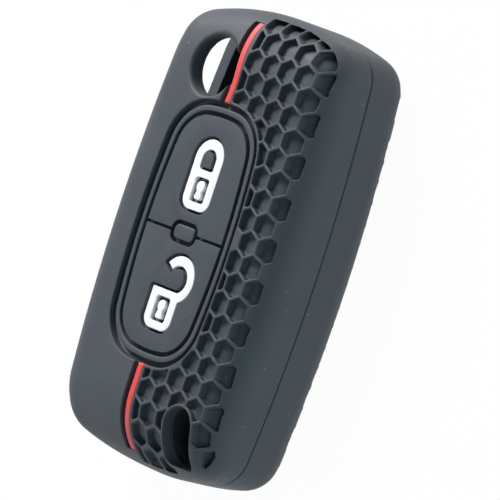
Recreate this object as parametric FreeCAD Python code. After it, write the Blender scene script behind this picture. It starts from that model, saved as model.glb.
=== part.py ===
"""Silicone cover for a folding car key, lying on its back with the buttons up.

X runs across the cover, Y along it towards the release hole, Z up out of the buttons.
The origin is the middle of the back face. Sizes are in millimetres.
"""

import FreeCAD, Part
import math
import os

Vector = FreeCAD.Vector

# Outer form of the sleeve: bowed sides and ends, and a face that falls towards both ends
LENGTH = 77.0
WIDTH = 42.5
THICKNESS = 20.0
SIDE_BULGE = 2.2
END_BULGE = 3.4
CORNER_RADIUS = 6.5
FRONT_EDGE_RADIUS = 6.0
BACK_EDGE_RADIUS = 4.6
TOP_FALL_START = 11.5
TOP_FALL_RADIUS = 22.9
TOP_FALL_SLOPE = 37.0
BOTTOM_FALL_START = 11.5
BOTTOM_FALL_RADIUS = 11.6
BOTTOM_FALL_SLOPE = 77.0
WALL = 2.2
LEAST_EDGE_RADIUS = 0.5

# Round hole over the blade's release button, open into the stripe's groove, with a collar inside
RELEASE_RADIUS = 5.1
RELEASE_END_INSET = 6.2
RELEASE_OVAL_GAP = 0.1
RELEASE_GROOVE_BREAK = 0.8
RELEASE_LIP_RADIUS = 0.7
RELEASE_COLLAR_WIDTH = 1.2
RELEASE_COLLAR_DROP = 0.65

# Oval button field under that hole: groove, rim, groove and pads, from outside to inside
OVAL_X = -0.9
OVAL_HALF_WIDTH = 11.8
OVAL_SIDE_BULGE = 1.5
OVAL_END_BULGE = 1.3
OVAL_CORNER_RADIUS = 8.5
OUTER_GROOVE_WIDTH = 0.9
OUTER_GROOVE_DEPTH = 1.5
RIM_WIDTH = 0.9
RIM_SINK = 0.4
INNER_GROOVE_WIDTH = 0.7
DIVIDER_GAP = 0.5
WEB_THICKNESS = 0.7

# Indicator island between the two pads
INDICATOR_WIDTH = 5.0
INDICATOR_HEIGHT = 2.4
INDICATOR_CORNER_RADIUS = 0.9
INDICATOR_GAP = 0.7

# White padlock signs, sunk in wider pockets of the pads and drawn to fit their height
SIGN_MARGIN = 3.275
SIGN_WIDTH = 6.7
SIGN_BODY_HEIGHT = 6.7
SIGN_STROKE = 1.7
SIGN_FOOT = 1.3
SIGN_BAR = 1.25
SIGN_FOOT_RADIUS = 2.0
SIGN_WINDOW_RADIUS = 0.5
SIGN_THICKNESS = 0.8
SIGN_SINK = 0.3
SIGN_MOAT = 0.45
CLOSED_SHACKLE_RISE = 1.85
OPEN_SHACKLE_RISE = 2.1
OPEN_SHACKLE_SHIFT = 1.7
OPEN_SHACKLE_RADIUS = 3.9
OPEN_SHACKLE_START = -75.0
OPEN_SHACKLE_END = 146.0
KEYHOLE_HEIGHT = 3.1
KEYHOLE_RADIUS = 0.95
KEYHOLE_NECK_WIDTH = 0.8
KEYHOLE_FOOT_WIDTH = 1.95
KEYHOLE_FOOT_RADIUS = 0.4

# Red stripes along the face, each a bead in a groove with a gap on its left; the upper one sways
STRIPE_X = -0.55
STRIPE_WIDTH = 1.4
STRIPE_GAP = 0.9
STRIPE_GROOVE_DEPTH = 1.0
STRIPE_CREST_SINK = 0.1
STRIPE_EDGE_RADIUS = 0.3
STRIPE_END_INSET = 2.5
STRIPE_END_RADIUS = 41.98
STRIPE_SWAY = 0.3
STRIPE_LEDGE = 0.3

# Arched hole for the key ring, through the front and the back
RING_WIDTH = 6.4
RING_HEIGHT = 9.6
RING_SIDE_INSET = 6.25
RING_END_INSET = 2.9
RING_CORNER_RADIUS = 1.4

# Slot for the blade, along the left side and round the top left corner
SLOT_BACK_LIP = 6.7
SLOT_FRONT_LIP = 6.9
SLOT_END_INSET = 10.5
SLOT_PAST_RELEASE = 4.7
SLOT_DEPTH_ALLOWANCE = 0.5

# Honeycomb grip on the right half of the front and of the back
HEX_PITCH = 4.0
HEX_RIDGE = 0.5
HEX_DEPTH = 1.1
HEX_FIRST_X = 4.45
HEX_FIRST_Y = -1.6
GRIP_FRONT_MARGIN = 1.9
GRIP_BACK_MARGIN = 1.15
GRIP_END_MARGIN = 1.2
GRIP_SIDE_BULGE = 1.0
GRIP_END_BULGE = 1.8
GRIP_CORNER_RADIUS = 2.0
GRIP_SKIN = 0.8
GRIP_FRONT_DROP = 6.5
GRIP_BACK_RISE = 3.6
GRIP_LEDGE = 0.45
GRIP_LEAST_AREA = 0.6
GRIP_LEAST_WIDTH = 0.9

# Places that follow from the sizes
MIDDLE_Z = THICKNESS / 2
PAD_TOP_Z = THICKNESS - RIM_SINK
WALL_INNER_Z = THICKNESS - WALL
RELEASE_Y = LENGTH / 2 - RELEASE_END_INSET - RELEASE_RADIUS
OVAL_HALF_HEIGHT = RELEASE_Y - RELEASE_RADIUS - RELEASE_OVAL_GAP
RIM_OUTER_INSET = OUTER_GROOVE_WIDTH
RIM_INNER_INSET = RIM_OUTER_INSET + RIM_WIDTH
PAD_INSET = RIM_INNER_INSET + INNER_GROOVE_WIDTH
PAD_HEIGHT = OVAL_HALF_HEIGHT - PAD_INSET - DIVIDER_GAP / 2
PAD_MIDDLE_Y = (DIVIDER_GAP + PAD_HEIGHT) / 2
CLOSED_SIGN_HEIGHT = SIGN_BODY_HEIGHT + CLOSED_SHACKLE_RISE + SIGN_WIDTH / 2
OPEN_SIGN_HEIGHT = SIGN_BODY_HEIGHT + OPEN_SHACKLE_RISE + OPEN_SHACKLE_RADIUS
SIGN_SCALE = (PAD_HEIGHT - 2 * SIGN_MARGIN) / OPEN_SIGN_HEIGHT
SIGN_TOP_Z = PAD_TOP_Z - SIGN_SINK
SIGN_FOOT_Z = SIGN_TOP_Z - SIGN_THICKNESS
STRIPE_LEFT = STRIPE_X - STRIPE_WIDTH / 2
STRIPE_RIGHT = STRIPE_X + STRIPE_WIDTH / 2
GROOVE_LEFT = STRIPE_LEFT - STRIPE_GAP
GRIP_LEFT = STRIPE_RIGHT + STRIPE_SWAY + STRIPE_LEDGE
RELEASE_X = GROOVE_LEFT + RELEASE_GROOVE_BREAK - RELEASE_RADIUS
RING_X = WIDTH / 2 - RING_SIDE_INSET - RING_WIDTH / 2
RING_FOOT_Y = RING_END_INSET - LENGTH / 2
SLOT_LOWER_Y = SLOT_END_INSET - LENGTH / 2
SLOT_UPPER_X = RELEASE_X + SLOT_PAST_RELEASE
REACH = LENGTH + WIDTH + THICKNESS


def rectangle(x0, x1, y0, y1):
    """Flat rectangle in the plane Z = 0."""
    return Part.makePlane(x1 - x0, y1 - y0, Vector(x0, y0, 0))


def disc(x, y, radius):
    """Flat round face in the plane Z = 0."""
    return Part.Face(Part.Wire(Part.makeCircle(radius, Vector(x, y, 0))))


def raised(face, z0, z1):
    """Solid over a flat face of the plane Z = 0, between two heights."""
    lifted = face.copy()
    lifted.translate(Vector(0, 0, z0))
    return lifted.extrude(Vector(0, 0, z1 - z0))


def rounded_corners(face, radius, chosen=lambda x, y: True):
    """The flat face with its chosen corners rounded."""
    solid = raised(face, 0, 1)
    corners = []
    for edge in solid.Edges:
        low, high = edge.Vertexes[0], edge.Vertexes[-1]
        if abs(low.Z - high.Z) > 0.5 and chosen(low.X, low.Y):
            corners.append(edge)
    solid = solid.makeFillet(radius, corners)
    return next(flat for flat in solid.Faces if abs(flat.BoundBox.ZMax) < 1e-6)


def joined(first, second):
    """Two overlapping flat faces as one."""
    solid = raised(first, 0, 1).fuse(raised(second, 0, 1)).removeSplitter()
    return next(flat for flat in solid.Faces if abs(flat.BoundBox.ZMax) < 1e-6)


def arch(x, half, foot, spring, corner):
    """Flat half round that springs from upright sides, over a foot with rounded corners."""
    edges = [
        Part.makeLine(Vector(x - half, foot, 0), Vector(x + half, foot, 0)),
        Part.makeLine(Vector(x + half, foot, 0), Vector(x + half, spring, 0)),
        Part.Arc(
            Vector(x + half, spring, 0),
            Vector(x, spring + half, 0),
            Vector(x - half, spring, 0),
        ).toShape(),
        Part.makeLine(Vector(x - half, spring, 0), Vector(x - half, foot, 0)),
    ]
    face = Part.Face(Part.Wire(edges))
    return rounded_corners(face, corner, lambda px, py: py < (foot + spring) / 2)


def barrel(half_x, half_y, bulge_x, bulge_y, corner):
    """Flat four-sided face about the origin, with bowed sides and rounded corners."""
    x = half_x - bulge_x
    y = half_y - bulge_y
    sides = [
        Part.Arc(Vector(x, -y, 0), Vector(half_x, 0, 0), Vector(x, y, 0)),
        Part.Arc(Vector(x, y, 0), Vector(0, half_y, 0), Vector(-x, y, 0)),
        Part.Arc(Vector(-x, y, 0), Vector(-half_x, 0, 0), Vector(-x, -y, 0)),
        Part.Arc(Vector(-x, -y, 0), Vector(0, -half_y, 0), Vector(x, -y, 0)),
    ]
    return rounded_corners(Part.Face(Part.Wire([side.toShape() for side in sides])), corner)


def plan(inset):
    """Outline of the sleeve seen from the front, drawn in by inset."""
    corner = max(CORNER_RADIUS - inset, LEAST_EDGE_RADIUS)
    return barrel(WIDTH / 2 - inset, LENGTH / 2 - inset, SIDE_BULGE, END_BULGE, corner)


def oval(inset):
    """Outline of the button field, drawn in by inset."""
    half_x = OVAL_HALF_WIDTH - inset
    half_y = OVAL_HALF_HEIGHT - inset
    face = barrel(half_x, half_y, OVAL_SIDE_BULGE, OVAL_END_BULGE, OVAL_CORNER_RADIUS - inset)
    face.translate(Vector(OVAL_X, 0, 0))
    return face


def fall(start, full_radius, slope, towards, inset):
    """Start, middle and end of an arc that leaves the level face at start, and a point beyond."""
    radius = full_radius - inset
    sweep = math.radians(slope)
    points = []
    for share in (0, 0.5, 1):
        along = radius * math.sin(share * sweep)
        down = radius * (1 - math.cos(share * sweep))
        points.append(Vector(-REACH, start + towards * along, THICKNESS - inset - down))
    beyond = Vector(0, towards * math.cos(sweep), -math.sin(sweep)) * CORNER_RADIUS
    return points + [points[2] + beyond]


def side_profile(inset):
    """Long bar across the cover whose upper side is the face seen from the side."""
    top_start = LENGTH / 2 - TOP_FALL_START
    bottom_start = BOTTOM_FALL_START - LENGTH / 2
    top = fall(top_start, TOP_FALL_RADIUS, TOP_FALL_SLOPE, 1, inset)
    bottom = fall(bottom_start, BOTTOM_FALL_RADIUS, BOTTOM_FALL_SLOPE, -1, inset)
    top_foot = Vector(-REACH, top[3].y, -THICKNESS)
    bottom_foot = Vector(-REACH, bottom[3].y, -THICKNESS)
    edges = [
        Part.makeLine(bottom[3], bottom[2]),
        Part.Arc(bottom[2], bottom[1], bottom[0]).toShape(),
        Part.makeLine(bottom[0], top[0]),
        Part.Arc(top[0], top[1], top[2]).toShape(),
        Part.makeLine(top[2], top[3]),
        Part.makeLine(top[3], top_foot),
        Part.makeLine(top_foot, bottom_foot),
        Part.makeLine(bottom_foot, bottom[3]),
    ]
    return Part.Face(Part.Wire(edges)).extrude(Vector(2 * REACH, 0, 0))


def looks_up(face):
    """Whether a face belongs to the front of the cover."""
    u0, u1, v0, v1 = face.ParameterRange
    return face.normalAt((u0 + u1) / 2, (v0 + v1) / 2).z > 0.05


def form(inset):
    """The sleeve's rounded outer form, drawn in by inset on every side."""
    solid = raised(plan(inset), inset, THICKNESS - inset)
    solid = solid.common(side_profile(inset)).removeSplitter().Solids[0]
    front_edges = []
    for edge in solid.Edges:
        sides = [looks_up(face) for face in solid.ancestorsOfType(edge, Part.Face)]
        if any(sides) and not all(sides):
            front_edges.append(edge)
    solid = solid.makeFillet(max(FRONT_EDGE_RADIUS - inset, LEAST_EDGE_RADIUS), front_edges)
    back_edges = [edge for edge in solid.Edges if edge.BoundBox.ZMax < inset + 1e-4]
    return solid.makeFillet(max(BACK_EDGE_RADIUS - inset, LEAST_EDGE_RADIUS), back_edges)


def front_relief(face, depth):
    """Solid that fills the outer depth of the front of the sleeve over a flat face."""
    return raised(face, MIDDLE_Z, THICKNESS + WALL).cut(form(depth))


def ring_outline(offset):
    """Outline of the key-ring hole, widened by offset."""
    half = RING_WIDTH / 2 + offset
    spring = RING_FOOT_Y + RING_HEIGHT - RING_WIDTH / 2
    return arch(RING_X, half, RING_FOOT_Y - offset, spring, RING_CORNER_RADIUS)


def grip_field(margin):
    """The right half of the cover, a margin from its side and clear of the ring hole."""
    half_x = WIDTH / 2 - margin
    half_y = LENGTH / 2 - GRIP_END_MARGIN
    field = barrel(half_x, half_y, GRIP_SIDE_BULGE, GRIP_END_BULGE, GRIP_CORNER_RADIUS)
    field = field.common(plan(GRIP_SKIN)).common(rectangle(GRIP_LEFT, WIDTH, -LENGTH, LENGTH))
    return field.cut(ring_outline(GRIP_LEDGE))


def honeycomb(field):
    """Hexagons standing on a point, in staggered rows, trimmed to a field."""
    reach = (HEX_PITCH - HEX_RIDGE) / math.sqrt(3)
    row_step = HEX_PITCH * math.sqrt(3) / 2
    rows = math.ceil(LENGTH / row_step / 2) + 1
    columns = math.ceil(WIDTH / HEX_PITCH / 2) + 1
    cells = []
    for row in range(-rows, rows + 1):
        shift = HEX_PITCH / 2 * (row % 2)
        for column in range(-columns, columns + 1):
            x = HEX_FIRST_X + shift + column * HEX_PITCH
            y = HEX_FIRST_Y + row * row_step
            points = []
            for corner in range(7):
                turn = corner * math.pi / 3
                points.append(Vector(x + reach * math.sin(turn), y + reach * math.cos(turn), 0))
            cells.append(Part.Face(Part.makePolygon(points)))
    trimmed = Part.makeCompound(cells).common(field)
    whole = []
    for cell in trimmed.Faces:
        if cell.Area > GRIP_LEAST_AREA and cell.BoundBox.XLength > GRIP_LEAST_WIDTH:
            whole.append(cell)
    return Part.makeCompound(whole)


def prisms(cells, z0, z1):
    """Upright prisms over flat cells."""
    return Part.makeCompound([raised(cell, z0, z1) for cell in cells.Faces])


def blade_slot():
    """Cutter for the slot through the side wall, with round ends."""
    low = SLOT_BACK_LIP
    high = THICKNESS - SLOT_FRONT_LIP
    radius = (high - low) / 2
    level = (high + low) / 2
    wall = raised(plan(-WALL), low, high)
    wall = wall.cut(raised(plan(WALL + SLOT_DEPTH_ALLOWANCE), low, high))
    straight = rectangle(-REACH, SLOT_UPPER_X - radius, SLOT_LOWER_Y + radius, REACH)
    lower_end = Part.makeCylinder(
        radius, REACH, Vector(0, SLOT_LOWER_Y + radius, level), Vector(-1, 0, 0)
    )
    upper_end = Part.makeCylinder(
        radius, REACH, Vector(SLOT_UPPER_X - radius, 0, level), Vector(0, 1, 0)
    )
    return wall.common(raised(straight, low, high).fuse([lower_end, upper_end]))


def swaying_band(left, right):
    """Flat band above the oval that sways once to the right and once to the left."""
    end = LENGTH / 2 - STRIPE_END_INSET
    sides = []
    for x in (left, right):
        points = []
        for step in range(-2, 15):
            share = step / 12
            sway = STRIPE_SWAY * math.sin(2 * math.pi * share)
            y = OVAL_HALF_HEIGHT + share * (end - OVAL_HALF_HEIGHT)
            points.append(Vector(x + sway, y, 0))
        sides.append(points)
    left_side, right_side = Part.BSplineCurve(), Part.BSplineCurve()
    left_side.interpolate(sides[0])
    right_side.interpolate(sides[1][::-1])
    edges = [
        left_side.toShape(),
        Part.makeLine(sides[0][-1], sides[1][-1]),
        right_side.toShape(),
        Part.makeLine(sides[1][0], sides[0][0]),
    ]
    return Part.Face(Part.Wire(edges))


def stripe_faces(left):
    """Upper and lower stripe outlines from a left edge to the stripes' right edge."""
    middle = LENGTH / 2 - STRIPE_END_INSET - STRIPE_END_RADIUS
    upper = swaying_band(left, STRIPE_RIGHT).common(disc(0, middle, STRIPE_END_RADIUS))
    lower = rectangle(left, STRIPE_RIGHT, -LENGTH, 0).common(disc(0, -middle, STRIPE_END_RADIUS))
    return [band.cut(oval(0)).Faces[0] for band in (upper, lower)]


def make_stripe(face):
    """Red bead that lies in its groove, its crest a little under the face."""
    bead = front_relief(face, STRIPE_GROOVE_DEPTH).common(form(STRIPE_CREST_SINK)).Solids[0]
    crests = []
    for edge in bead.Edges:
        sides = bead.ancestorsOfType(edge, Part.Face)
        if any(looks_up(side) for side in sides) and not all(looks_up(side) for side in sides):
            crests.append(edge)
    return bead.makeFillet(STRIPE_EDGE_RADIUS, crests)


def island(offset):
    """Outline of the indicator, widened by offset."""
    half_x = INDICATOR_WIDTH / 2 + offset
    half_y = INDICATOR_HEIGHT / 2 + offset
    corner = INDICATOR_CORNER_RADIUS + offset
    face = rectangle(OVAL_X - half_x, OVAL_X + half_x, -half_y, half_y)
    return rounded_corners(face, corner)


def pad_face(above):
    """Outline of the pad above or below the divider."""
    if above:
        half = rectangle(-WIDTH, WIDTH, DIVIDER_GAP / 2, LENGTH)
    else:
        half = rectangle(-WIDTH, WIDTH, -LENGTH, -DIVIDER_GAP / 2)
    return oval(PAD_INSET).common(half).cut(island(INDICATOR_GAP))


def web_face(above):
    """Floor of the groove round one pad, up to the middle of the divider."""
    half = rectangle(-WIDTH, WIDTH, 0, LENGTH) if above else rectangle(-WIDTH, WIDTH, -LENGTH, 0)
    floor = oval(RIM_INNER_INSET).common(half)
    return floor.cut(pad_face(above)).cut(island(0))


def sign_window(base):
    """Window in the body of a padlock sign."""
    half = SIGN_WIDTH / 2 - SIGN_STROKE
    low = base + SIGN_FOOT
    high = base + SIGN_BODY_HEIGHT - SIGN_BAR
    return rounded_corners(rectangle(-half, half, low, high), SIGN_WINDOW_RADIUS)


def closed_padlock(base):
    """Outline of a padlock with its shackle closed, standing on a base line."""
    half = SIGN_WIDTH / 2
    body_top = base + SIGN_BODY_HEIGHT
    spring = body_top + CLOSED_SHACKLE_RISE
    outer = arch(0, half, base, spring, SIGN_FOOT_RADIUS)
    inner = arch(0, half - SIGN_STROKE, body_top, spring, SIGN_WINDOW_RADIUS)
    return outer.cut(inner).Faces[0]


def open_padlock(base):
    """Outline of a padlock with its shackle swung open to the right, on a base line."""
    half = SIGN_WIDTH / 2
    body_top = base + SIGN_BODY_HEIGHT
    block = rounded_corners(
        rectangle(-half, half, base, body_top),
        SIGN_FOOT_RADIUS,
        lambda x, y: y < body_top - SIGN_FOOT_RADIUS,
    )
    centre = Vector(OPEN_SHACKLE_SHIFT, body_top + OPEN_SHACKLE_RISE, 0)

    def at(angle, radius):
        turn = math.radians(angle)
        return centre + Vector(radius * math.cos(turn), radius * math.sin(turn), 0)

    start = OPEN_SHACKLE_START
    end = OPEN_SHACKLE_END
    middle = (start + end) / 2
    outer = OPEN_SHACKLE_RADIUS
    inner = OPEN_SHACKLE_RADIUS - SIGN_STROKE
    edges = [
        Part.Arc(at(start, outer), at(middle, outer), at(end, outer)).toShape(),
        Part.makeLine(at(end, outer), at(end, inner)),
        Part.Arc(at(end, inner), at(middle, inner), at(start, inner)).toShape(),
        Part.makeLine(at(start, inner), at(start, outer)),
    ]
    shackle = Part.Face(Part.Wire(edges))
    return joined(block, shackle)


def keyhole(base):
    """Keyhole in the middle of a sign's window: a round head over a spreading foot."""
    middle = base + (SIGN_FOOT + SIGN_BODY_HEIGHT - SIGN_BAR) / 2
    low = middle - KEYHOLE_HEIGHT / 2
    head_y = low + KEYHOLE_HEIGHT - KEYHOLE_RADIUS
    corners = [
        Vector(-KEYHOLE_FOOT_WIDTH / 2, low, 0),
        Vector(KEYHOLE_FOOT_WIDTH / 2, low, 0),
        Vector(KEYHOLE_NECK_WIDTH / 2, head_y, 0),
        Vector(-KEYHOLE_NECK_WIDTH / 2, head_y, 0),
        Vector(-KEYHOLE_FOOT_WIDTH / 2, low, 0),
    ]
    foot = rounded_corners(
        Part.Face(Part.makePolygon(corners)), KEYHOLE_FOOT_RADIUS, lambda x, y: y < middle
    )
    return joined(foot, disc(0, head_y, KEYHOLE_RADIUS))


def on_pad(face, middle_y):
    """A flat face of the signs' drawing, to size and in its place on a pad."""
    placed = face.scaled(SIGN_SCALE)
    placed.translate(Vector(OVAL_X, middle_y, 0))
    return placed


def inlay(face):
    """White piece that lies on the floor of its pocket, a little under the pad's face."""
    return raised(face, SIGN_FOOT_Z, SIGN_TOP_Z)


def make_sleeve():
    """The black moulding: form, pocket, slot, holes, button field, grooves and honeycomb."""
    sleeve = form(0)
    release = raised(disc(RELEASE_X, RELEASE_Y, RELEASE_RADIUS), MIDDLE_Z, THICKNESS + WALL)
    sleeve = sleeve.cut(release)
    lip = []
    for edge in sleeve.Edges:
        away = math.hypot(edge.CenterOfMass.x - RELEASE_X, edge.CenterOfMass.y - RELEASE_Y)
        if away < RELEASE_RADIUS and edge.BoundBox.ZMin > MIDDLE_Z + WALL:
            lip.append(edge)
    sleeve = sleeve.makeFillet(RELEASE_LIP_RADIUS, lip)
    field = raised(oval(0), THICKNESS - OUTER_GROOVE_DEPTH, THICKNESS + WALL)
    rim = raised(oval(RIM_OUTER_INSET), THICKNESS - OUTER_GROOVE_DEPTH, PAD_TOP_Z)
    opening = raised(oval(RIM_INNER_INSET), MIDDLE_Z, THICKNESS + WALL)
    collar = raised(
        disc(RELEASE_X, RELEASE_Y, RELEASE_RADIUS + RELEASE_COLLAR_WIDTH),
        WALL_INNER_Z - RELEASE_COLLAR_DROP,
        THICKNESS,
    )
    cutters = [form(WALL).cut(collar), blade_slot(), field.cut(rim), opening]
    cutters.append(raised(ring_outline(0), -WALL, THICKNESS + WALL))
    for face in stripe_faces(GROOVE_LEFT):
        cutters.append(front_relief(face, STRIPE_GROOVE_DEPTH))
    sleeve = sleeve.cut(cutters)
    floor = form(HEX_DEPTH)
    front_cells = honeycomb(grip_field(GRIP_FRONT_MARGIN).cut(oval(-GRIP_LEDGE)))
    back_cells = honeycomb(grip_field(GRIP_BACK_MARGIN))
    pockets = prisms(front_cells, THICKNESS - GRIP_FRONT_DROP, THICKNESS + WALL).cut(floor).Solids
    pockets += prisms(back_cells, -WALL, GRIP_BACK_RISE).cut(floor).Solids
    return sleeve.cut(Part.makeCompound(pockets))


def make_pad(above, padlock):
    """One rubber pad with a pocket that leaves a moat round its padlock."""
    pocket = raised(padlock.makeOffset2D(SIGN_MOAT), SIGN_FOOT_Z, PAD_TOP_Z + WALL)
    return raised(pad_face(above), WALL_INNER_Z, PAD_TOP_Z).cut(pocket)


def make_parts():
    """Every piece of the cover by name."""
    closed_base = -CLOSED_SIGN_HEIGHT / 2
    open_base = -OPEN_SIGN_HEIGHT / 2
    closed = on_pad(closed_padlock(closed_base), PAD_MIDDLE_Y)
    opened = on_pad(open_padlock(open_base), -PAD_MIDDLE_Y)
    parts = {
        "lock_pad": make_pad(True, closed),
        "unlock_pad": make_pad(False, opened),
        "lock_sign": inlay(closed.cut(on_pad(sign_window(closed_base), PAD_MIDDLE_Y))),
        "unlock_sign": inlay(opened.cut(on_pad(sign_window(open_base), -PAD_MIDDLE_Y))),
        "lock_keyhole": inlay(on_pad(keyhole(closed_base), PAD_MIDDLE_Y)),
        "unlock_keyhole": inlay(on_pad(keyhole(open_base), -PAD_MIDDLE_Y)),
    }
    web_top = WALL_INNER_Z + WEB_THICKNESS
    parts["lock_web"] = raised(web_face(True), WALL_INNER_Z, web_top)
    parts["unlock_web"] = raised(web_face(False), WALL_INNER_Z, web_top)
    parts["indicator"] = raised(island(0), WALL_INNER_Z, PAD_TOP_Z)
    upper, lower = stripe_faces(STRIPE_LEFT)
    parts["upper_stripe"] = make_stripe(upper)
    parts["lower_stripe"] = make_stripe(lower)
    parts["sleeve"] = make_sleeve()
    return parts


os.makedirs("parts", exist_ok=True)
for name, shape in make_parts().items():
    solids = shape.Solids
    print(name, len(solids), shape.isValid(), round(shape.Volume, 2))
    solids[0].exportStep("parts/" + name + ".step")
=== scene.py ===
# %% [markdown]
# # A silicone cover for a folding car key
#
# The cover is one soft black moulding with two press pads, white padlock signs and two red
# beads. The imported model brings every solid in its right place, in metres, so this script
# only has to soften the shapes as rubber would and give them their finish.

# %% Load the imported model
import math

import bmesh
import bpy
from mathutils import Matrix, Vector


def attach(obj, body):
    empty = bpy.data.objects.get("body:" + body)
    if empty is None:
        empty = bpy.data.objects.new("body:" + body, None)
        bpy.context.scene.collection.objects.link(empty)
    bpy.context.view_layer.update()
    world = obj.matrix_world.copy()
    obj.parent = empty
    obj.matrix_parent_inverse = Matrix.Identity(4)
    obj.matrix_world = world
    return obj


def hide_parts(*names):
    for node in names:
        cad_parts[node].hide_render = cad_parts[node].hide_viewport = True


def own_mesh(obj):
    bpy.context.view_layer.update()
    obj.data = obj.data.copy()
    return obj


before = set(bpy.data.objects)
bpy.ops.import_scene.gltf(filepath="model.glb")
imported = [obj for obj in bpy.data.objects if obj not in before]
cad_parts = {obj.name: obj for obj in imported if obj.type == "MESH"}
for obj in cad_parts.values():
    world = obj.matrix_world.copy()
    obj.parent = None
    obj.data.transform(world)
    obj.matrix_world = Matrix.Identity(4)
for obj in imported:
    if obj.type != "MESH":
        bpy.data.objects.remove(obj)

scene = bpy.context.scene
scene.view_settings.view_transform = "Standard"
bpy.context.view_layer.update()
MM = 0.001
print("solids:", ", ".join(sorted(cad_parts)))

# %% [markdown]
# ## The camera
#
# The cover lies on its back, and the view comes from its right side, well above the floor,
# with a long lens. A camera that looks straight down is the easiest start: it is rolled about
# its own axis, tipped a little and then leaned over to the right. Built in this order, each
# angle has one plain meaning.

# %% Camera
AIM = Vector((0, 0, 9.5)) * MM
DISTANCE = 583.5 * MM
SHIFT_RIGHT = 3.04 * MM
SHIFT_UP = -0.46 * MM
LEAN = math.radians(46.65)
TIP = math.radians(-2.0)
ROLL = math.radians(18.2)
turned = Matrix.Rotation(LEAN, 3, "Y")
turned = turned @ Matrix.Rotation(TIP, 3, "X")
turned = turned @ Matrix.Rotation(ROLL, 3, "Z")
lens_at = AIM + turned @ Vector((SHIFT_RIGHT, SHIFT_UP, DISTANCE))

camera_data = bpy.data.cameras.new("photo_camera")
camera_data.lens = 258.4
camera_data.sensor_width = 36.0
camera_data.clip_start = 0.05
camera = bpy.data.objects.new("photo_camera", camera_data)
camera.matrix_world = Matrix.Translation(lens_at) @ turned.to_4x4()
scene.collection.objects.link(camera)
scene.camera = camera
print("camera at", [round(value, 3) for value in lens_at])

# %% [markdown]
# ## Writing shaders as sums
#
# A material is a small calculation about each point of the surface. One class wraps an output
# socket, so that `0.5 + 0.1 * grain` adds the Math nodes by itself. Any other node comes from
# one method: its type, its settings, and the values or wires of its sockets.

# %% Shader wires
class Wire:
    """An output socket of a node tree that can be used in Python sums."""

    def __init__(self, tree, socket=None):
        self.tree = tree
        self.socket = socket

    def node(self, kind, settings=None, sockets=None, out=0):
        made = self.tree.nodes.new(kind)
        for name, value in (settings or {}).items():
            setattr(made, name, value)
        for name, value in (sockets or {}).items():
            if isinstance(value, Wire):
                self.tree.links.new(value.socket, made.inputs[name])
            else:
                made.inputs[name].default_value = value
        return Wire(self.tree, made.outputs[out]) if len(made.outputs) else made

    def other(self, name):
        """Another output of the same node."""
        return Wire(self.tree, self.socket.node.outputs[name])

    def sum(self, operation, first, second):
        return self.node("ShaderNodeMath", {"operation": operation}, {0: first, 1: second})

    def __add__(self, other):
        return self.sum("ADD", self, other)

    def __sub__(self, other):
        return self.sum("SUBTRACT", self, other)

    def __rsub__(self, other):
        return self.sum("SUBTRACT", other, self)

    def __mul__(self, other):
        return self.sum("MULTIPLY", self, other)

    def __lt__(self, other):
        return self.sum("LESS_THAN", self, other)

    def __gt__(self, other):
        return self.sum("GREATER_THAN", self, other)

    __radd__ = __add__
    __rmul__ = __mul__


def blank(owner):
    """An empty node tree for a material or a world."""
    owner.use_nodes = True
    owner.node_tree.nodes.clear()
    return Wire(owner.node_tree)


def blended(tree, share, first, second):
    """Colour between two colours."""
    sockets = {"Factor": share, 6: first, 7: second}
    return tree.node("ShaderNodeMix", {"data_type": "RGBA"}, sockets, out=2)


print("shader wires ready")

# %% [markdown]
# ## The floor
#
# The ground is white, and it lights the cover from below as a light table would. So the floor
# is part paint and part glow: the paint takes the shadow, and the glow keeps the white. To the
# camera the share of glow is larger. The underside is clear, so that the back of the cover can
# be looked at as well.

# %% Floor
WHITE = (1, 1, 1, 1)
PAINT = (0.8, 0.8, 0.8, 1)
GLOW = 0.5
GLOW_SEEN = 0.47
FLOOR_DROP = 0.02 * MM


def ground_material():
    """Pale floor, part paint and part glow, and clear from below."""
    material = bpy.data.materials.new("pale_floor")
    tree = blank(material)
    seen = tree.node("ShaderNodeLightPath", out="Is Camera Ray")
    mirrored = seen.other("Is Glossy Ray")
    through = seen.other("Is Transmission Ray")
    shown = tree.sum("MAXIMUM", seen, tree.sum("MAXIMUM", mirrored, through))
    paint = tree.node("ShaderNodeBsdfDiffuse", None, {"Color": PAINT})
    glow = tree.node("ShaderNodeEmission", None, {"Color": WHITE, "Strength": 1.0})
    share = GLOW + GLOW_SEEN * shown
    lit = tree.node("ShaderNodeMixShader", None, {0: share, 1: paint, 2: glow})
    below = tree.node("ShaderNodeNewGeometry", out="Backfacing")
    clear = tree.node("ShaderNodeBsdfTransparent")
    whole = tree.node("ShaderNodeMixShader", None, {0: below, 1: lit, 2: clear})
    tree.node("ShaderNodeOutputMaterial", None, {"Surface": whole})
    return material


sheet = bmesh.new()
bmesh.ops.create_grid(sheet, x_segments=1, y_segments=1, size=3.0)
bmesh.ops.translate(sheet, verts=sheet.verts, vec=(0, 0, -FLOOR_DROP))
floor_mesh = bpy.data.meshes.new("floor")
sheet.to_mesh(floor_mesh)
sheet.free()
floor_mesh.materials.append(ground_material())
floor = bpy.data.objects.new("floor", floor_mesh)
scene.collection.objects.link(floor)
print("floor", len(floor_mesh.polygons), "face")

# %% [markdown]
# ## Soft light
#
# One soft box stands beyond the top end, to the upper left. It rakes across the face, so that
# the grooves and the honeycomb cells fall into shade while their ridges stay light. Two weak
# boxes fill the lower left and the right side. The one on the right and the dim sky are
# slightly blue, as the shaded side of the cover is.

# %% Light
SKY_BLUE = (0.78, 0.95, 1.12, 1)
SKY_LIGHT = 0.23


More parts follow.
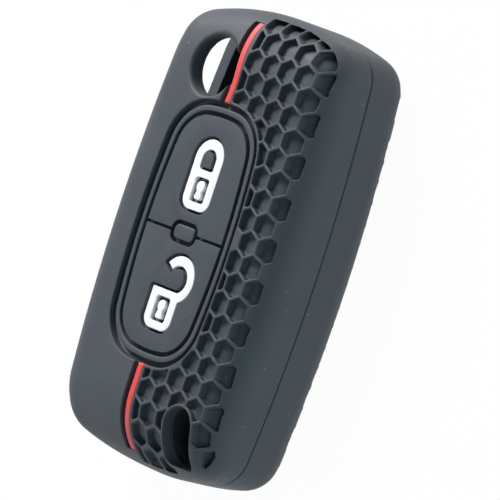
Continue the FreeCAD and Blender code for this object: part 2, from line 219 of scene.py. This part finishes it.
def lamp(name, place, size, watts, colour=(1, 1, 1)):
    """Square soft box that looks at the cover."""
    data = bpy.data.lights.new(name, "AREA")
    data.size = size
    data.energy = watts
    data.color = colour
    made = bpy.data.objects.new(name, data)
    made.location = place
    made.rotation_euler = (AIM - Vector(place)).to_track_quat("-Z", "Y").to_euler()
    scene.collection.objects.link(made)


lamp("key_box", place=(-0.33, 0.44, 0.40), size=0.30, watts=6.4)
lamp("front_box", place=(-0.50, -0.60, 0.50), size=0.6, watts=2.5)
lamp("side_box", place=(0.75, -0.15, 0.15), size=0.5, watts=1.5, colour=(0.5, 0.88, 1.0))

world = bpy.data.worlds.new("studio")
scene.world = world
sky = blank(world)
seen = sky.node("ShaderNodeLightPath", out="Is Camera Ray")
tint = blended(sky, seen, SKY_BLUE, WHITE)
strength = SKY_LIGHT + (1 - SKY_LIGHT) * seen
light = sky.node("ShaderNodeBackground", None, {"Color": tint, "Strength": strength})
sky.node("ShaderNodeOutputWorld", None, {"Surface": light})
print("lamps:", ", ".join(box.name for box in bpy.data.lights))

# %% [markdown]
# ## Silicone
#
# Moulded silicone is matt, with a fine grain from the mould, a slight unevenness of tone and
# a few specks of dust that it draws from the air, most of them along the mould line. All of it
# is worked out from the object's own coordinates, so nothing has to be unwrapped and the
# pattern has its real size. A noise scale is the number of its waves in a metre.

# %% Silicone
SEAM_Z = 9.6 * MM
SEAM_SHADE_HALF = 0.05 * MM
# Colour of the shade painted along the mould-line groove
SEAM_PAINTED_SHADE = (0.012, 0.013, 0.015, 1)
SEAM_DUST_REACH = 0.35 * MM
SEAM_DUST_MORE = 0.5
CLOUD_SCALE = 140.0
GRAIN_SCALE = 5200.0
SKIN_SCALE = 1500.0
DARKER, LIGHTER = 0.86, 1.12
SPECK_SCALE = 600.0
SPECK_SIZE, SPECK_SPREAD = 0.045, 0.04
SPECK_RARITY = 0.88
DUST_PALER = 0.2
SHEEN_SPREAD = 0.12


def silicone(name, colour, roughness, grain_depth, dust, seam_shade_and_dust=0.0):
    """Matt moulded rubber with grain, soft mottling, sparse dust and painted shade along the
    mould line.
    """
    material = bpy.data.materials.new(name)
    tree = blank(material)
    place = tree.node("ShaderNodeTexCoord", out="Object")

    def noise(scale, detail):
        sockets = {"Vector": place, "Scale": scale, "Detail": detail, "Roughness": 0.55}
        return tree.node("ShaderNodeTexNoise", None, sockets)

    cloud = noise(CLOUD_SCALE, 3.0)
    grain = noise(GRAIN_SCALE, 2.0)
    skin = noise(SKIN_SCALE, 3.0)
    dark = tuple(DARKER * value for value in colour) + (1,)
    light = tuple(LIGHTER * value for value in colour) + (1,)
    tone = blended(tree, cloud, dark, light)
    height = tree.node("ShaderNodeSeparateXYZ", None, {0: place}, out="Z")
    from_seam = tree.node("ShaderNodeMath", {"operation": "ABSOLUTE"}, {0: height - SEAM_Z})
    # Painted shade: a thin dark line along the mould-line groove, where shade falls
    seam_shade = from_seam < SEAM_SHADE_HALF + SEAM_SHADE_HALF * skin
    tone = blended(tree, seam_shade_and_dust * seam_shade, tone, SEAM_PAINTED_SHADE)
    speck = tree.node("ShaderNodeTexVoronoi", None, {"Vector": place, "Scale": SPECK_SCALE})
    lot = tree.node("ShaderNodeTexWhiteNoise", None, {"Vector": speck.other("Position")})
    beside = seam_shade_and_dust * (from_seam < SEAM_DUST_REACH)
    small = speck < SPECK_SIZE + SPECK_SPREAD * lot
    fleck = small * (lot > SPECK_RARITY - SEAM_DUST_MORE * beside)
    dusty = tuple(value + DUST_PALER for value in colour) + (1,)
    tone = blended(tree, dust * fleck, tone, dusty)
    bump = tree.node("ShaderNodeBump", None, {
        "Strength": 0.35, "Distance": grain_depth * MM, "Height": grain + 0.7 * skin})
    shader = tree.node("ShaderNodeBsdfPrincipled", None, {
        "Base Color": tone,
        "Roughness": roughness - SHEEN_SPREAD / 2 + SHEEN_SPREAD * skin,
        "Specular IOR Level": 0.42,
        "Normal": bump,
    })
    tree.node("ShaderNodeOutputMaterial", None, {"Surface": shader})
    return material


FINISH = {
    # The sleeve gets the painted shade along its mould line, and more dust beside it
    "sleeve_silicone": silicone("sleeve_silicone", (0.062, 0.070, 0.079), 0.60, 0.035, 0.8, 0.8),
    "pad_silicone": silicone("pad_silicone", (0.057, 0.065, 0.076), 0.56, 0.028, 0.5),
    "white_silicone": silicone("white_silicone", (0.93, 0.93, 0.925), 0.50, 0.02, 0.0),
    "red_silicone": silicone("red_silicone", (0.74, 0.075, 0.072), 0.48, 0.02, 0.0),
}
print("finishes:", ", ".join(FINISH))

# %% [markdown]
# ## From a solid to a piece
#
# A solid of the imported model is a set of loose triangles. A copy of it is welded first, and
# then any operator can work on it. The same few lines then make an object of it, give it the
# finish of its slot, let it move with its body and hide the solid that it stands for.

# %% Pieces
WELD = 0.001 * MM


def welded(node):
    """Copy of a solid as one closed mesh."""
    shape = bmesh.new()
    shape.from_mesh(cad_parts[node].data)
    bmesh.ops.remove_doubles(shape, verts=shape.verts, dist=WELD)
    return shape


def triangle_count(mesh):
    """Number of triangles that a mesh's faces make."""
    return sum(len(face.vertices) - 2 for face in mesh.polygons)


def placed(name, mesh, body, slot, *nodes):
    """Object for a finished mesh, with its finish, its body and the solids it replaces."""
    mesh.materials.clear()
    mesh.materials.append(FINISH[slot])
    mesh.shade_smooth()
    made = bpy.data.objects.new(name, mesh)
    scene.collection.objects.link(made)
    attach(made, body)
    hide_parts(*nodes)
    print(name, "has", triangle_count(mesh), "triangles")
    return made


def meshed(name, shape):
    """Mesh data from a bmesh that is no longer needed."""
    mesh = bpy.data.meshes.new(name)
    shape.to_mesh(mesh)
    shape.free()
    return mesh


print("solids to dress:", len(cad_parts))

# %% [markdown]
# ## Rubber edges
#
# No edge of moulded rubber is sharp. On the sleeve, with its hundreds of honeycomb cells, a
# bevel would have to pass thousands of short edges. Remeshing it in fine cubes and relaxing
# the result rounds every edge alike, as a mould does, and a decimation afterwards takes the
# faces away again where the surface is plain.

# %% Rubber
def relaxed(name, shape, cube, passes, most):
    """Mesh with every edge rounded, in small cubes, and thinned to a number of triangles."""
    rough = bpy.data.objects.new(name, meshed(name, shape))
    scene.collection.objects.link(rough)
    remesh = rough.modifiers.new("cubes", "REMESH")
    remesh.mode = "VOXEL"
    remesh.voxel_size = cube * MM
    smooth = rough.modifiers.new("relax", "SMOOTH")
    smooth.factor = 0.5
    smooth.iterations = passes
    view = bpy.context.evaluated_depsgraph_get()
    fine = bpy.data.meshes.new_from_object(rough.evaluated_get(view))
    triangles = triangle_count(fine)
    rough.modifiers.clear()
    rough.data = fine
    thin = rough.modifiers.new("thin", "DECIMATE")
    thin.ratio = min(1.0, most / triangles)
    view = bpy.context.evaluated_depsgraph_get()
    done = bpy.data.meshes.new_from_object(rough.evaluated_get(view))
    bpy.data.objects.remove(rough)
    print(name, "thinned from", triangles)
    return done


print("rubber edges ready")

# %% [markdown]
# ## The sleeve
#
# The mould opens half way up the side and leaves a fine line there. The sleeve is cut at that
# height into a front and a back half, each closed with its own rounded edge. Where the two
# edges meet there is a fine groove, and the finish paints a dark line of shade into it.

# %% Sleeve
CUT_SNAP = 1e-7
SEAM_INSET = 0.2 * MM
SEAM_LIFT = 0.16 * MM
SLEEVE_CUBE, QUICK_CUBE = 0.13, 0.4
SLEEVE_PASSES = 3
SLEEVE_TRIANGLES = 190000


def half_sleeve(name, upper):
    """One side of the mould line, closed where it was cut."""
    shape = welded("sleeve")
    cut = bmesh.ops.bisect_plane(
        shape, geom=shape.verts[:] + shape.edges[:] + shape.faces[:], dist=CUT_SNAP,
        plane_co=(0, 0, SEAM_Z), plane_no=(0, 0, 1), clear_inner=upper, clear_outer=not upper)
    rim = [item for item in cut["geom_cut"] if isinstance(item, bmesh.types.BMEdge)]
    filled = bmesh.ops.triangle_fill(shape, use_beauty=True, edges=rim)
    bmesh.ops.recalc_face_normals(shape, faces=shape.faces)
    cap = [item for item in filled["geom"] if isinstance(item, bmesh.types.BMFace)]
    bmesh.ops.inset_region(shape, faces=cap, thickness=SEAM_INSET, use_even_offset=False)
    edge = list({corner for item in rim for corner in item.verts})
    lift = SEAM_LIFT if upper else -SEAM_LIFT
    bmesh.ops.translate(shape, verts=edge, vec=(0, 0, lift))
    cube = SLEEVE_CUBE
    mesh = relaxed(name, shape, cube, SLEEVE_PASSES, SLEEVE_TRIANGLES)
    placed(name, mesh, "cover", "sleeve_silicone", "sleeve")


half_sleeve("sleeve_front", True)
half_sleeve("sleeve_back", False)

# %% [markdown]
# ## Pads and signs
#
# These are plain plates, so here a bevel does the work. Coplanar triangles are dissolved, the
# edges round the upper face are picked by their height and their angle, and the bevel rolls
# them over. The white signs are moulded too, so their edges are round as well, only finer.

# %% Plates
FLAT = math.radians(1.0)
STEEP = 1.0
RIM_DEPTH = 0.01 * MM
SIGN_EDGE = 0.16
PAD_EDGE = 0.3


def rolled(node, radius):
    """Copy of a plate with the edges of its upper face rolled over."""
    shape = welded(node)
    bmesh.ops.dissolve_limit(shape, angle_limit=FLAT, verts=shape.verts, edges=shape.edges)
    top = max(corner.co.z for corner in shape.verts)
    rim = []
    for edge in shape.edges:
        level = all(corner.co.z > top - RIM_DEPTH for corner in edge.verts)
        if level and len(edge.link_faces) == 2 and edge.calc_face_angle(0) > STEEP:
            rim.append(edge)
    bmesh.ops.bevel(
        shape, geom=rim, offset=radius * MM, segments=4, profile=0.5, affect="EDGES",
        material=-1, clamp_overlap=True)
    return meshed(node, shape)


for button in ("lock", "unlock"):
    body = button + "_button"
    for part in ("_sign", "_keyhole"):
        node = button + part
        placed("white_" + node, rolled(node, SIGN_EDGE), body, "white_silicone", node)
    node = button + "_pad"
    placed("rubber_" + node, rolled(node, PAD_EDGE), body, "pad_silicone", node)
placed("rubber_indicator", rolled("indicator", PAD_EDGE), "cover", "pad_silicone", "indicator")

# %% [markdown]
# ## Groove floors
#
# The thin floor of the groove round a pad gives way when the pad is pressed. Each floor is
# rolled over like a plate, with a finer edge, and gets a mesh of its own.

# %% Webs
WEB_EDGE = 0.1
for button in ("lock", "unlock"):
    node = button + "_web"
    web = placed("rubber_" + node, rolled(node, WEB_EDGE), "cover", "pad_silicone", node)
    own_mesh(web)

# %% [markdown]
# ## Red beads
#
# A bead has a round back, a slight sway and ends that die into its groove. The same remesh
# that softened the sleeve rounds it, in finer cubes and with one more pass.

# %% Beads
BEAD_CUBE = 0.08
BEAD_PASSES = 4
BEAD_TRIANGLES = 30000
for node in ("upper_stripe", "lower_stripe"):
    bead = relaxed(node, welded(node), BEAD_CUBE, BEAD_PASSES, BEAD_TRIANGLES)
    placed("red_" + node, bead, "cover", "red_silicone", node)
